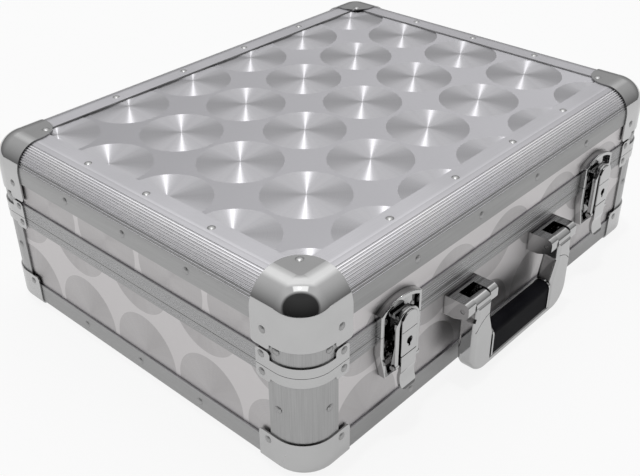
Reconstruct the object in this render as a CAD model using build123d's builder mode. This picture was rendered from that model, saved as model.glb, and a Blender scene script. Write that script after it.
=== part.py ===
from build123d import *
import os
from math import cos, radians, sin

# CD storage case: an aluminium framed case with a hinged lid, two key latches and a drop handle.
# Millimetres, +Z up, X along the long side, the front with latches and handle faces -Y.
# Floor level is z = 0 and the origin lies under the middle of the whole outline.

# Two coordinates closer than this are the same place when edges or corners are picked
near = 0.01

# Case shell
case_length = 455.0
case_width = 352.0
case_height = 148.0
base_height = 85.0
parting_gap = 0.4
ground_gap = 4.0
corner_round = 25.0

# Wall build-up: outer leg of the frame, board, inner leg of the frame
leg_wall = 1.5
panel_wall = 6.0
inner_round = 8.0
inner_edge_round = 4.0

# Lid edge profile
edge_round = 22.0
edge_seat = 17.0
edge_top_leg = 34.0
edge_side_leg = 30.5
groove_count = 11
groove_first = 19.0
groove_last = 72.0
groove_radius = 0.55

# Rims where lid and base meet
lid_rim_height = 12.3
base_rim_height = 7.3
rim_web = 2.0
lip_height = 4.0
lip_wall = 1.5
lip_gap = 0.4
rim_groove_pitch = 2.2
rim_groove_start = 2.6
rim_groove_depth = 0.25

# Bottom edge angle
angle_leg = 19.0
angle_round = 2.5

# Corner posts and pressed corner sheet
post_seat = 19.0
post_reach = 32.5
sheet = 1.2
ball_reach = 45.5
ball_round = 21.0
ball_ear_drop = 47.0
ball_mid_drop = 42.5
ear_start = 29.0
strap_reach = 42.0
lid_strap_height = 13.5
lid_strap_band = 7.6
base_strap_height = 11.0
base_strap_band = 7.8
foot_cap_reach = 43.0
foot_cap_height = 26.0
ear_round = 3.0

# Rivets
rivet_head = 3.0
rivet_rise = 1.1
rivet_shank = 1.6
rivet_hole = 1.65
long_pitch = 76.0
short_pitch = 69.0
long_count = 4
short_count = 3
edge_top_rivet = 25.2
edge_side_rivet = 22.3
angle_rivet = 9.5
ball_top_rivet = 35.8
ball_side_rivet = 34.5
ball_rivet_drop = 32.7
strap_rivet = 36.7
lid_strap_rivet = 9.6
base_strap_rivet = 5.4
post_rivet = 24.4
lid_post_rivet = 17.0
base_post_rivet = 32.4
foot_rivet = 34.4
foot_rivet_height = 19.9

# Inside of the case
floor_pad = 2.0
lid_pad = 4.0
divider_wall = 2.5
divider_height = 72.0
divider_count = 2

# Rubber feet
foot_radius = 11.0
foot_edge_round = 1.1
foot_inset = 56.0
foot_screw_head = 3.6
foot_screw_shank = 1.5
foot_screw_rise = 2.0

# Lid hinges on the back
hinge_place = 135.0
hinge_width = 60.0
hinge_middle = 20.0
hinge_leaf = 1.5
hinge_leaf_reach = 24.0
hinge_axis_out = 4.2
knuckle_radius = 3.5
hinge_pin_radius = 1.5
running_gap = 0.05
side_gap = 0.25
open_angle = 105.0
stop_wall = 2.0
stop_gap = 0.25
hinge_rivet_out = 20.0
hinge_rivet_height = 17.0

# Latches on the front, heights counted from the parting line
latch_place = 135.0
dish_half = 22.0
dish_shoulder = 17.5
dish_top = 24.0
dish_taper = 16.0
dish_bottom = 38.5
dish_foot_half = 16.5
dish_rise = 4.7
dish_floor = 1.5
dish_rim = 3.0
dish_edge_round = 0.75
lever_axis_out = 5.5
lever_axis_drop = 21.5
bail_axis_out = 8.5
bail_axis_drop = 28.5
latch_pin = 1.5
bail_pin_head = 1.9
bail_pin_head_wall = 1.0
tongue_half = 8.3
tongue_front = 12.0
tongue_back = 7.0
tongue_arch_centre = 7.0
bail_arch_centre = 3.5
tongue_drop = 20.0
tongue_notch = 1.6
tongue_line = 0.5
tongue_line_depth = 0.6
tongue_lip = 2.0
web_wall = 1.2
arm_inner = 9.3
arm_width = 3.7
arm_wall = 3.6
arm_edge_round = 0.9
tongue_edge_round = 0.6
lever_joint = 0.8
lever_wall = 2.5
lever_bend = 34.0
lever_tip = 50.0
lever_curl = 2.2
lever_hollow = 0.8
cheek_outer = 8.0
cheek_wall = 2.0
cheek_radius = 2.6
ear_wall = 2.0
ear_gap = 0.3
lock_drop = 9.5
lock_radius = 4.2
keyhole_radius = 3.1
keyhole_slot = 2.0
keyhole_reach = 5.2
key_slot_depth = 2.0
keyhole_wall = 1.3
cam_length = 13.0
cam_width = 5.0
cam_wall = 1.2
keeper_half = 8.0
keeper_low = 9.0
keeper_wall = 2.0
keeper_lip = 5.0
keeper_hook = 4.0
dish_rivet_side = 15.0
lid_dish_rivet = 8.0
base_dish_rivet = 11.0

# Drop handle on the front
bracket_place = 57.5
bracket_width = 38.0
bracket_back = 4.5
handle_axis_out = 15.5
handle_axis_drop = 17.5
cheek_top = 7.0
cheek_front = 5.2
cheek_nose_round = 4.6
bracket_drop = 9.5
handle_knuckle = 6.0
handle_knuckle_width = 18.4
handle_pin = 2.0
handle_depth = 15.0
handle_half = 68.5
handle_drop = 65.0
arm_foot_width = 26.5
arm_shoulder = 14.0
handle_rail = 6.5
handle_corner = 19.0
handle_inner_round = 6.0
grip_height = 25.0
grip_depth = 13.4
grip_round = 6.0
collar_length = 2.0
collar_lap = 0.7
frame_edge_round = 3.2
handle_edge_lap = 1.0
core_height = 8.0
core_depth = 6.0
line_depth = 0.6
line_centre = 45.0
line_centre_drop = 38.0
line_radius = 27.3
line_low = 28.0
line_high = 10.0
line_outer = 69.5
line_inner = 50.0
bracket_screw = 2.0
bracket_screw_head = 4.0
bracket_screw_side = 11.5
bracket_screw_depth = 4.0

# Levels and faces that follow from the sizes
SIDES = ("front", "back", "left", "right")
half_x = case_length / 2
half_y = case_width / 2
bottom_z = ground_gap
top_z = bottom_z + case_height
parting_z = bottom_z + base_height
base_top_z = parting_z - parting_gap / 2
lid_low_z = parting_z + parting_gap / 2
panel_in = leg_wall + panel_wall
inner_face = panel_in + leg_wall
lip_set = leg_wall + lip_gap
lid_web_low = lip_height + lip_gap
corner_span = 60.0
over_angle = radians(open_angle - 90)
stop_reach = (hinge_axis_out - hinge_leaf - stop_gap - stop_wall / 2 * cos(over_angle)) / sin(over_angle)
handle_reach = handle_axis_out + handle_depth / 2
hinge_reach = hinge_axis_out + stop_reach
mid_y = (handle_reach - hinge_reach) / 2
front_y = mid_y - half_y
back_y = mid_y + half_y
HALF = {"front": half_x, "back": half_x, "left": half_y, "right": half_y}
MIDDLE = {"front": (0, front_y), "back": (0, back_y), "left": (-half_x, mid_y), "right": (half_x, mid_y)}
INWARD = {"front": (0, 1), "back": (0, -1), "left": (1, 0), "right": (-1, 0)}
OUT_TURN = {"front": (90, 0, 0), "back": (-90, 0, 0), "left": (0, -90, 0), "right": (0, 90, 0)}
lid_panel_low = lid_low_z + lid_web_low + rim_web
lid_panel_high = top_z - edge_seat
base_panel_low = bottom_z + panel_in
base_panel_high = base_top_z - rim_web
corner_places = [
    Location((-half_x, front_y, 0), (0, 0, 0)),
    Location((half_x, front_y, 0), (0, 0, 90)),
    Location((half_x, back_y, 0), (0, 0, 180)),
    Location((-half_x, back_y, 0), (0, 0, 270)),
]

os.makedirs("parts", exist_ok=True)


def write_piece(piece, name):
    """Label a finished piece and write it as its own STEP file."""
    piece.part.label = name
    export_step(piece.part, f"parts/{name}.step")


def wall_plane(side, span, z):
    """Section plane of a wall: local x runs inward, local y up, and the wall runs along its normal."""
    ix, iy = INWARD[side]
    mx, my = MIDDLE[side]
    return Plane(origin=(mx - iy * span / 2, my + ix * span / 2, z), x_dir=(ix, iy, 0), z_dir=(iy, -ix, 0))


def on_side(side, along, z, seat=0.0):
    """Place on a side's outer plane, its local z pointing out of the case."""
    mx, my = MIDDLE[side]
    ix, iy = INWARD[side]
    return Location((mx + abs(iy) * along - ix * seat, my + abs(ix) * along - iy * seat, z), OUT_TURN[side])


def on_top(x, y, seat=0.0):
    return Location((x, mid_y + y, top_z + seat))


def on_bottom(x, y, seat=0.0):
    return Location((x, mid_y + y, bottom_z - seat), (180, 0, 0))


def row(side):
    """Rivet places along one side, counted from its middle."""
    pitch, count = (long_pitch, long_count) if HALF[side] == half_x else (short_pitch, short_count)
    return [(k - (count - 1) / 2) * pitch for k in range(count)]


def ends(side, inset):
    """The two places at one distance from the side's corners."""
    return [inset - HALF[side], HALF[side] - inset]


def flange_point(side, along, inset):
    """Plan point on the top or bottom flange of one side."""
    mx, my = MIDDLE[side]
    ix, iy = INWARD[side]
    return (mx + ix * inset + abs(iy) * along, my - mid_y + iy * inset + abs(ix) * along)


# Rivet places, group by group
lid_edge_side = {s: [on_side(s, a, top_z - edge_side_rivet) for a in row(s)] for s in SIDES}
lid_edge_top = {s: [on_top(*flange_point(s, a, edge_top_rivet)) for a in row(s)] for s in SIDES}
angle_side = {s: [on_side(s, a, bottom_z + angle_rivet) for a in row(s)] for s in SIDES}
angle_under = {s: [on_bottom(*flange_point(s, a, angle_rivet)) for a in row(s)] for s in SIDES}
ball_side = {s: [on_side(s, a, top_z - ball_rivet_drop) for a in ends(s, ball_side_rivet)] for s in SIDES}
strap_ends = {s: ends(s, strap_rivet) for s in SIDES}
post_ends = {s: ends(s, post_rivet) for s in SIDES}
lid_strap_side = {s: [on_side(s, a, parting_z + lid_strap_rivet) for a in strap_ends[s]] for s in SIDES}
lid_post_side = {s: [on_side(s, a, parting_z + lid_post_rivet) for a in post_ends[s]] for s in SIDES}
base_strap_side = {s: [on_side(s, a, parting_z - base_strap_rivet) for a in strap_ends[s]] for s in SIDES}
base_post_side = {s: [on_side(s, a, parting_z - base_post_rivet) for a in post_ends[s]] for s in SIDES}
foot_cap_side = {s: [on_side(s, a, bottom_z + foot_rivet_height) for a in ends(s, foot_rivet)] for s in SIDES}
ball_top = [
    on_top(x, y)
    for x in (ball_top_rivet - half_x, half_x - ball_top_rivet)
    for y in (ball_top_rivet - half_y, half_y - ball_top_rivet)
]
lid_dish_rivets = [
    on_side("front", x + dx, parting_z + lid_dish_rivet)
    for x in (-latch_place, latch_place)
    for dx in (-dish_rivet_side, dish_rivet_side)
]
base_dish_rivets = [
    on_side("front", x + dx, parting_z - base_dish_rivet)
    for x in (-latch_place, latch_place)
    for dx in (-dish_rivet_side, dish_rivet_side)
]
lid_hinge_rivets = [
    on_side("back", x + dx, parting_z + hinge_rivet_height)
    for x in (-hinge_place, hinge_place)
    for dx in (-hinge_rivet_out, hinge_rivet_out)
]
base_hinge_rivets = [
    on_side("back", x + dx, parting_z - hinge_rivet_height)
    for x in (-hinge_place, hinge_place)
    for dx in (-hinge_rivet_out, hinge_rivet_out)
]


def drill(places, radius=rivet_hole, depth=panel_in):
    """Cut round holes through everything within the wall's depth at the given places."""
    with Locations(*places):
        Cylinder(radius=radius, height=2 * depth, mode=Mode.SUBTRACT)


def make_rivet(seat):
    """Domed rivet: its origin lies on the case's outer plane, its head on a seat above it."""
    with BuildPart() as rivet:
        with BuildSketch(Plane.XZ):
            with BuildLine():
                Polyline(
                    (0, seat + rivet_rise),
                    (0, -panel_in),
                    (rivet_shank, -panel_in),
                    (rivet_shank, seat),
                    (rivet_head, seat),
                )
                TangentArc((0, seat + rivet_rise), (rivet_head, seat), tangent=(1, 0))
            make_face()
        revolve(axis=Axis.Z)
    return rivet.part


def corner_block(inset, low, high, upright_round, rim_round=0.0, rim_at_top=True):
    """Quarter of a rounded box in corner coordinates, with its outer corner at (inset, inset)."""
    with BuildPart() as block:
        with BuildSketch(Plane.XY.offset(low)) as plan:
            with Locations((inset, inset)):
                Rectangle(corner_span, corner_span, align=(Align.MIN, Align.MIN))
            fillet(plan.vertices().sort_by(lambda v: v.X + v.Y)[0], radius=upright_round)
        extrude(amount=high - low)
        if rim_round > 0:
            flat = block.faces().sort_by(Axis.Z)[-1 if rim_at_top else 0]
            outward = inset + upright_round / 2
            outer = flat.edges().filter_by(lambda e: min(e.center().X, e.center().Y) < outward)
            fillet(outer, radius=rim_round)
    return block.part


def corner_area(reach, rounding):
    """Plan outline of corner sheet in corner coordinates, with its inboard corner rounded."""
    with BuildSketch() as area:
        with Locations((-2 * sheet, -2 * sheet)):
            Rectangle(reach + 2 * sheet, reach + 2 * sheet, align=(Align.MIN, Align.MIN))
        if rounding > 0:
            fillet(area.vertices().sort_by(lambda v: v.X + v.Y)[-1], radius=rounding)
    return area.sketch


def corner_rivet_holes(along, z):
    """The two side holes of a corner piece, in corner coordinates."""
    return [Location((along, 0, z), (90, 0, 0)), Location((0, along, z), (0, -90, 0))]


# Wall boards: lid and base, four sides each
for side in SIDES:
    span = 2 * (HALF[side] - post_seat)
    board_rivets = {
        "lid": lid_edge_side[side] + ball_side[side] + lid_strap_side[side] + lid_post_side[side],
        "base": angle_side[side] + base_strap_side[side] + base_post_side[side] + foot_cap_side[side],
    }
    if side == "front":
        board_rivets["lid"] += lid_dish_rivets
        board_rivets["base"] += base_dish_rivets
    if side == "back":
        board_rivets["lid"] += lid_hinge_rivets
        board_rivets["base"] += base_hinge_rivets
    for shell, low, high in (
        ("lid", lid_panel_low, lid_panel_high),
        ("base", base_panel_low, base_panel_high),
    ):
        with BuildPart() as board:
            with BuildSketch(wall_plane(side, span, low)):
                with Locations((leg_wall, 0)):
                    Rectangle(panel_wall, high - low, align=(Align.MIN, Align.MIN))
            extrude(amount=span)
            drill(board_rivets[shell])
            if shell == "base" and side == "front":
                drill(
                    [
                        on_side("front", x + dx, parting_z - handle_axis_drop)
                        for x in (-bracket_place, bracket_place)
                        for dx in (-bracket_screw_side, bracket_screw_side)
                    ],
                    radius=bracket_screw + running_gap,
                )
        write_piece(board, f"{shell}_{side}_board")

# Top board, notched round the corner posts
with BuildPart() as lid_top_board:
    with BuildSketch(Plane.XY.offset(top_z - panel_in)):
        with Locations((0, mid_y)):
            Rectangle(case_length - 2 * edge_seat, case_width - 2 * edge_seat)
            with GridLocations(case_length - 2 * edge_seat, case_width - 2 * edge_seat, 2, 2):
                Rectangle(2 * (corner_round - edge_seat), 2 * (corner_round - edge_seat), mode=Mode.SUBTRACT)
    extrude(amount=panel_wall)
    drill([place for side in SIDES for place in lid_edge_top[side]] + ball_top)
write_piece(lid_top_board, "lid_top_board")

# Bottom board, its corners rounded to follow the case
foot_places = [
    on_bottom(x, y, -leg_wall)
    for x in (foot_inset - half_x, half_x - foot_inset)
    for y in (foot_inset - half_y, half_y - foot_inset)
]
with BuildPart() as base_bottom_board:
    with BuildSketch(Plane.XY.offset(bottom_z + leg_wall)):
        with Locations((0, mid_y)):
            RectangleRounded(case_length - 2 * leg_wall, case_width - 2 * leg_wall, corner_round - leg_wall)
    extrude(amount=panel_wall)
    drill([place for side in SIDES for place in angle_under[side]])
    drill(foot_places, radius=foot_screw_shank, depth=panel_wall)
write_piece(base_bottom_board, "base_bottom_board")

# Lid edge profiles: a ribbed round with two flanges outside, a plain angle inside, and slots for the boards
for side in SIDES:
    span = 2 * (HALF[side] - corner_round)
    with BuildPart() as edge:
        with BuildSketch(wall_plane(side, span, top_z)) as section:
            Rectangle(edge_top_leg, edge_side_leg, align=(Align.MIN, Align.MAX))
            fillet(section.vertices().sort_by(lambda v: v.X - v.Y)[0], radius=edge_round)
            with Locations((inner_face, -inner_face)):
                Rectangle(edge_top_leg, edge_side_leg, align=(Align.MIN, Align.MAX), mode=Mode.SUBTRACT)
            fillet(
                section.vertices().sort_by_distance((inner_face, -inner_face))[0], radius=inner_edge_round
            )
            with Locations((edge_seat, -leg_wall)):
                Rectangle(edge_top_leg, panel_wall, align=(Align.MIN, Align.MAX), mode=Mode.SUBTRACT)
            with Locations((leg_wall, -edge_seat)):
                Rectangle(panel_wall, edge_side_leg, align=(Align.MIN, Align.MAX), mode=Mode.SUBTRACT)
            with Locations((edge_round, -edge_round)):
                with PolarLocations(
                    edge_round, groove_count, 90 + groove_first, groove_last - groove_first, endpoint=True
                ):
                    Circle(groove_radius, mode=Mode.SUBTRACT)
        extrude(amount=span)
        if side in ("left", "right"):
            mx, my = MIDDLE[side]
            with Locations(*[(mx + INWARD[side][0] * corner_round, y, top_z) for y in (front_y, back_y)]):
                Box(
                    corner_span,
                    2 * edge_top_leg,
                    2 * edge_side_leg,
                    align=(Align.MIN if side == "left" else Align.MAX, Align.CENTER, Align.CENTER),
                    mode=Mode.SUBTRACT,
                )
        drill(lid_edge_side[side] + lid_edge_top[side])
        drill([on_top(*flange_point(side, a, ball_top_rivet)) for a in ends(side, ball_top_rivet)])
    write_piece(edge, f"lid_{side}_edge")

# Rims: channels over the board ends; the base rim carries a lip that enters the lid rim
for side in SIDES:
    span = 2 * (HALF[side] - corner_round)
    with BuildPart() as lid_rim:
        with BuildSketch(wall_plane(side, span, lid_low_z)):
            Rectangle(inner_face, lid_rim_height, align=(Align.MIN, Align.MIN))
            with Locations((leg_wall, 0)):
                Rectangle(panel_wall, lid_web_low, align=(Align.MIN, Align.MIN), mode=Mode.SUBTRACT)
            with Locations((leg_wall, lid_web_low + rim_web)):
                Rectangle(panel_wall, lid_rim_height, align=(Align.MIN, Align.MIN), mode=Mode.SUBTRACT)
            groove_total = int((lid_rim_height - rim_groove_start) / rim_groove_pitch)
            with Locations(*[(0, rim_groove_start + k * rim_groove_pitch) for k in range(groove_total)]):
                Circle(rim_groove_depth, mode=Mode.SUBTRACT)
        extrude(amount=span)
        drill(lid_strap_side[side] + (lid_dish_rivets if side == "front" else []))
    write_piece(lid_rim, f"lid_{side}_rim")
    with BuildPart() as base_rim:
        with BuildSketch(wall_plane(side, span, base_top_z)):
            Rectangle(inner_face, base_rim_height, align=(Align.MIN, Align.MAX))
            with Locations((leg_wall, -rim_web)):
                Rectangle(panel_wall, base_rim_height, align=(Align.MIN, Align.MAX), mode=Mode.SUBTRACT)
            with Locations((lip_set, 0)):
                Rectangle(lip_wall, lip_height, align=(Align.MIN, Align.MIN))
            groove_total = int((base_rim_height - rim_groove_start) / rim_groove_pitch)
            with Locations(*[(0, -rim_groove_start - k * rim_groove_pitch) for k in range(groove_total)]):
                Circle(rim_groove_depth, mode=Mode.SUBTRACT)
        extrude(amount=span)
        drill(base_strap_side[side])
    write_piece(base_rim, f"base_{side}_rim")

# Bottom edge angles
for side in SIDES:
    span = 2 * (HALF[side] - corner_round)
    with BuildPart() as angle:
        with BuildSketch(wall_plane(side, span, bottom_z)) as section:
            Rectangle(angle_leg, angle_leg, align=(Align.MIN, Align.MIN))
            fillet(section.vertices().sort_by(lambda v: v.X + v.Y)[0], radius=angle_round)
            with Locations((leg_wall, leg_wall)):
                Rectangle(angle_leg, angle_leg, align=(Align.MIN, Align.MIN), mode=Mode.SUBTRACT)
        extrude(amount=span)
        drill(angle_side[side] + angle_under[side] + foot_cap_side[side])
    write_piece(angle, f"base_{side}_angle")


def make_post(low, high, leg_low, leg_high, board_low, board_high, at_top, holes):
    """Corner post in corner coordinates: a block between the profiles, with legs where the boards show."""
    rim_round = edge_round if at_top else 0.0
    inner_high = high - inner_face if at_top else high
    inner_rim = inner_edge_round if at_top else 0.0
    with BuildPart() as post:
        add(corner_block(0, low, high, corner_round, rim_round))
        with BuildSketch(Plane.XY.offset(low)):
            Rectangle(corner_round, corner_round, align=(Align.MIN, Align.MIN))
        extrude(amount=high - low, mode=Mode.INTERSECT)
        with BuildSketch(Plane.XY.offset(leg_low)):
            with Locations((corner_round, 0)):
                Rectangle(post_reach - corner_round, inner_face, align=(Align.MIN, Align.MIN))
            with Locations((0, corner_round)):
                Rectangle(inner_face, post_reach - corner_round, align=(Align.MIN, Align.MIN))
        extrude(amount=leg_high - leg_low)
        add(corner_block(inner_face, low - sheet, inner_high, inner_round, inner_rim), mode=Mode.SUBTRACT)
        with BuildSketch(Plane.XY.offset(board_low)):
            with Locations((post_seat, leg_wall)):
                Rectangle(corner_span, panel_wall, align=(Align.MIN, Align.MIN))
            with Locations((leg_wall, post_seat)):
                Rectangle(panel_wall, corner_span, align=(Align.MIN, Align.MIN))
        extrude(amount=board_high - board_low, mode=Mode.SUBTRACT)
        drill(holes)
    return post.part


# Corner posts of lid and base
lid_post = make_post(
    lid_low_z,
    top_z,
    lid_low_z + lid_rim_height,
    top_z - edge_side_leg,
    lid_panel_low,
    lid_panel_high,
    True,
    corner_rivet_holes(post_rivet, parting_z + lid_post_rivet),
)
with BuildPart() as lid_corner_posts:
    with Locations(*corner_places):
        add(lid_post)
write_piece(lid_corner_posts, "lid_corner_posts")

base_post = make_post(
    base_panel_low,
    base_top_z,
    bottom_z + angle_leg,
    base_top_z - base_rim_height,
    base_panel_low,
    base_panel_high,
    False,
    corner_rivet_holes(post_rivet, parting_z - base_post_rivet),
)
with BuildPart() as base_corner_posts:
    with Locations(*corner_places):
        add(base_post)
write_piece(base_corner_posts, "base_corner_posts")


def corner_notch(low, high, width):
    """Take the sheet away round the upright of a corner between two levels."""
    with Locations((-2 * sheet, -2 * sheet, low)):
        Box(
            width + 2 * sheet,
            width + 2 * sheet,
            high - low,
            align=(Align.MIN, Align.MIN, Align.MIN),
            mode=Mode.SUBTRACT,
        )


# Ball corners: pressed sheet over the round corner of the lid
with BuildPart() as ball_corner:
    add(corner_block(-sheet, top_z - ball_ear_drop, top_z + sheet, corner_round + sheet, edge_round + sheet))
    add(corner_block(0, top_z - 2 * ball_ear_drop, top_z, corner_round, edge_round), mode=Mode.SUBTRACT)
    with BuildSketch(Plane.XY.offset(top_z - 2 * ball_ear_drop)):
        add(corner_area(ball_reach, ball_round))
    extrude(amount=2 * ball_ear_drop + 2 * sheet, mode=Mode.INTERSECT)
    corner_notch(top_z - 2 * ball_ear_drop, top_z - ball_mid_drop, ear_start)
    ball_low = top_z - ball_ear_drop
    fillet(
        ball_corner.edges().filter_by(lambda e: e.length < 2 * sheet and abs(e.center().Z - ball_low) < near),
        radius=ear_round,
    )
    drill(corner_rivet_holes(ball_side_rivet, top_z - ball_rivet_drop))
    drill([Location((ball_top_rivet, ball_top_rivet, top_z))])
with BuildPart() as lid_ball_corners:
    with Locations(*corner_places):
        add(ball_corner.part)
write_piece(lid_ball_corners, "lid_ball_corners")


def make_strap(low, high, notch_low, notch_high, rivet_z, ear_end):
    """Corner strap in corner coordinates: a band round the upright with an ear on each face."""
    with BuildPart() as strap:
        add(corner_block(-sheet, low, high, corner_round + sheet))
        add(corner_block(0, low - sheet, high + sheet, corner_round), mode=Mode.SUBTRACT)
        with BuildSketch(Plane.XY.offset(low)):
            add(corner_area(strap_reach, 0))
        extrude(amount=high - low, mode=Mode.INTERSECT)
        with BuildSketch(Plane.XY.offset(low)):
            with Locations((corner_round, corner_round)):
                Rectangle(corner_span, corner_span, align=(Align.MIN, Align.MIN))
        extrude(amount=high - low, mode=Mode.SUBTRACT)
        corner_notch(notch_low, notch_high, ear_start)
        fillet(
            strap.edges().filter_by(lambda e: e.length < 2 * sheet and abs(e.center().Z - ear_end) < near),
            radius=ear_round,
        )
        drill(corner_rivet_holes(strap_rivet, rivet_z))
    return strap.part


# Corner straps on both sides of the parting line
lid_strap_top = lid_low_z + lid_strap_height
lid_strap = make_strap(
    lid_low_z,
    lid_strap_top,
    lid_low_z + lid_strap_band,
    lid_strap_top,
    parting_z + lid_strap_rivet,
    lid_strap_top,
)
with BuildPart() as lid_corner_straps:
    with Locations(*corner_places):
        add(lid_strap)
write_piece(lid_corner_straps, "lid_corner_straps")

base_strap_low = base_top_z - base_strap_height
base_strap = make_strap(
    base_strap_low,
    base_top_z,
    base_strap_low,
    base_top_z - base_strap_band,
    parting_z - base_strap_rivet,
    base_strap_low,
)
with BuildPart() as base_corner_straps:
    with Locations(*corner_places):
        add(base_strap)
write_piece(base_corner_straps, "base_corner_straps")

# Bottom corner caps: sheet folded round the upright and under the case
with BuildPart() as foot_cap:
    cap_top = bottom_z + foot_cap_height
    outer_round = angle_round + sheet
    add(corner_block(-sheet, bottom_z - sheet, cap_top, corner_round + sheet, outer_round, False))
    add(
        corner_block(0, bottom_z, bottom_z + 2 * foot_cap_height, corner_round, angle_round, False),
        mode=Mode.SUBTRACT,
    )
    with BuildSketch(Plane.XY.offset(bottom_z - 2 * sheet)):
        add(corner_area(foot_cap_reach, ball_round))
    extrude(amount=2 * foot_cap_height, mode=Mode.INTERSECT)
    fillet(
        foot_cap.edges().filter_by(lambda e: e.length < 2 * sheet and abs(e.center().Z - cap_top) < near),
        radius=ear_round,
    )
    drill(corner_rivet_holes(foot_rivet, bottom_z + foot_rivet_height))
with BuildPart() as base_corner_caps:
    with Locations(*corner_places):
        add(foot_cap.part)
write_piece(base_corner_caps, "base_corner_caps")

# Rivets of the lid and of the base, each group one node of separate solids
plain_rivet = make_rivet(0.0)
sheet_rivet = make_rivet(sheet)
leaf_rivet = make_rivet(hinge_leaf)
with BuildPart() as lid_rivets:
    with Locations(*[p for s in SIDES for p in lid_edge_side[s] + lid_edge_top[s] + lid_post_side[s]]):
        add(plain_rivet)
    with Locations(*[p for s in SIDES for p in ball_side[s] + lid_strap_side[s]], *ball_top):
        add(sheet_rivet)
    with Locations(*lid_dish_rivets, *lid_hinge_rivets):
        add(leaf_rivet)
write_piece(lid_rivets, "lid_rivets")

with BuildPart() as base_rivets:
    with Locations(*[p for s in SIDES for p in angle_side[s] + angle_under[s] + base_post_side[s]]):
        add(plain_rivet)
    with Locations(*[p for s in SIDES for p in base_strap_side[s] + foot_cap_side[s]]):
        add(sheet_rivet)
    with Locations(*base_dish_rivets, *base_hinge_rivets):
        add(leaf_rivet)
write_piece(base_rivets, "base_rivets")

# Floor pad and dividers inside the base, foam pad inside the lid
inner_x = half_x - inner_face
inner_y = half_y - inner_face
with BuildPart() as base_floor_pad:
    with BuildSketch(Plane.XY.offset(base_panel_low)):
        with Locations((0, mid_y)):
            RectangleRounded(2 * inner_x, 2 * inner_y, inner_round)
    extrude(amount=floor_pad)
write_piece(base_floor_pad, "base_floor_pad")

bay_width = (2 * inner_x - divider_count * divider_wall) / (divider_count + 1)
with BuildPart() as cd_dividers:
    with BuildSketch(Plane.XY.offset(base_panel_low + floor_pad)):
        for k in range(divider_count):
            with Locations((-inner_x + (k + 1) * (bay_width + divider_wall) - divider_wall / 2, mid_y)):
                Rectangle(divider_wall, 2 * inner_y)
    extrude(amount=divider_height)
write_piece(cd_dividers, "cd_dividers")

with BuildPart() as lid_foam_pad:
    with BuildSketch(Plane.XY.offset(top_z - panel_in - lid_pad)):
        with Locations((0, mid_y)):
            Rectangle(case_length - 2 * edge_top_leg, case_width - 2 * edge_top_leg)
    extrude(amount=lid_pad)
write_piece(lid_foam_pad, "lid_foam_pad")

# Rubber feet with their screws under the bottom board
with BuildPart() as rubber_foot:
    Cylinder(foot_radius, ground_gap + leg_wall, align=(Align.CENTER, Align.CENTER, Align.MIN))
    fillet(rubber_foot.edges().group_by(Axis.Z)[-1], radius=foot_edge_round)
    with Locations((0, 0, ground_gap + leg_wall)):
        CounterBoreHole(
            foot_screw_shank + running_gap, foot_screw_head + side_gap, foot_screw_rise + side_gap
        )
with BuildPart() as rubber_feet:
    with Locations(*foot_places):
        add(rubber_foot.part)
write_piece(rubber_feet, "rubber_feet")

screw_seat = ground_gap + leg_wall - foot_screw_rise - side_gap
with BuildPart() as foot_screw:
    with BuildSketch(Plane.XZ):
        with BuildLine():
            Polyline(
                (0, screw_seat + foot_screw_rise),
                (0, -panel_wall),
                (foot_screw_shank, -panel_wall),
                (foot_screw_shank, screw_seat),
                (foot_screw_head, screw_seat),
            )
            TangentArc((0, screw_seat + foot_screw_rise), (foot_screw_head, screw_seat), tangent=(1, 0))
        make_face()
    revolve(axis=Axis.Z)
with BuildPart() as foot_screws:
    with Locations(*foot_places):
        add(foot_screw.part)
write_piece(foot_screws, "foot_screws")


def back_plane(x):
    """Plane on the back at the parting line: local x to the case's left, local y up, local z outward."""
    return Plane(origin=(x, back_y, parting_z), x_dir=(-1, 0, 0), z_dir=(0, 1, 0))


hinge_places = [back_plane(x).location for x in (-hinge_place, hinge_place)]
side_width = (hinge_width - hinge_middle) / 2
side_centre = hinge_middle / 2 + side_width / 2
knuckle_gap = side_gap / 2

# Hinge leaf of the base with its two outer knuckles
with BuildPart() as base_leaf:
    with BuildSketch() as plate:
        with Locations((0, -knuckle_radius + parting_gap)):
            Rectangle(hinge_width, hinge_leaf_reach - knuckle_radius, align=(Align.CENTER, Align.MAX))
        fillet(plate.vertices().group_by(Axis.Y)[0], radius=ear_round)
    extrude(amount=hinge_leaf)
    with BuildSketch() as pad:
        with Locations((0, -base_rim_height - parting_gap)):
            pad_height = hinge_leaf_reach - base_rim_height - parting_gap - ear_round
            Rectangle(hinge_width, pad_height, align=(Align.CENTER, Align.MAX))
    extrude(amount=-leg_wall)
    for centre in (-side_centre, side_centre):
        with BuildSketch(Plane.YZ.offset(centre - side_width / 2 + knuckle_gap * (centre > 0))):
            with Locations((0, hinge_axis_out)):
                Circle(knuckle_radius)
            with Locations((-parting_gap, 0)):
                Rectangle(knuckle_radius, hinge_axis_out, align=(Align.MAX, Align.MIN))
        extrude(amount=side_width - knuckle_gap)
    with Locations((0, 0, hinge_axis_out)):
        Cylinder(hinge_pin_radius, 2 * hinge_width, rotation=(0, 90, 0), mode=Mode.SUBTRACT)
    with Locations((-hinge_rivet_out, -hinge_rivet_height), (hinge_rivet_out, -hinge_rivet_height)):
        Cylinder(rivet_hole, 2 * panel_in, mode=Mode.SUBTRACT)
with BuildPart() as hinge_base_leaves:
    with Locations(*hinge_places):
        add(base_leaf.part)
write_piece(hinge_base_leaves, "hinge_base_leaves")

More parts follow.
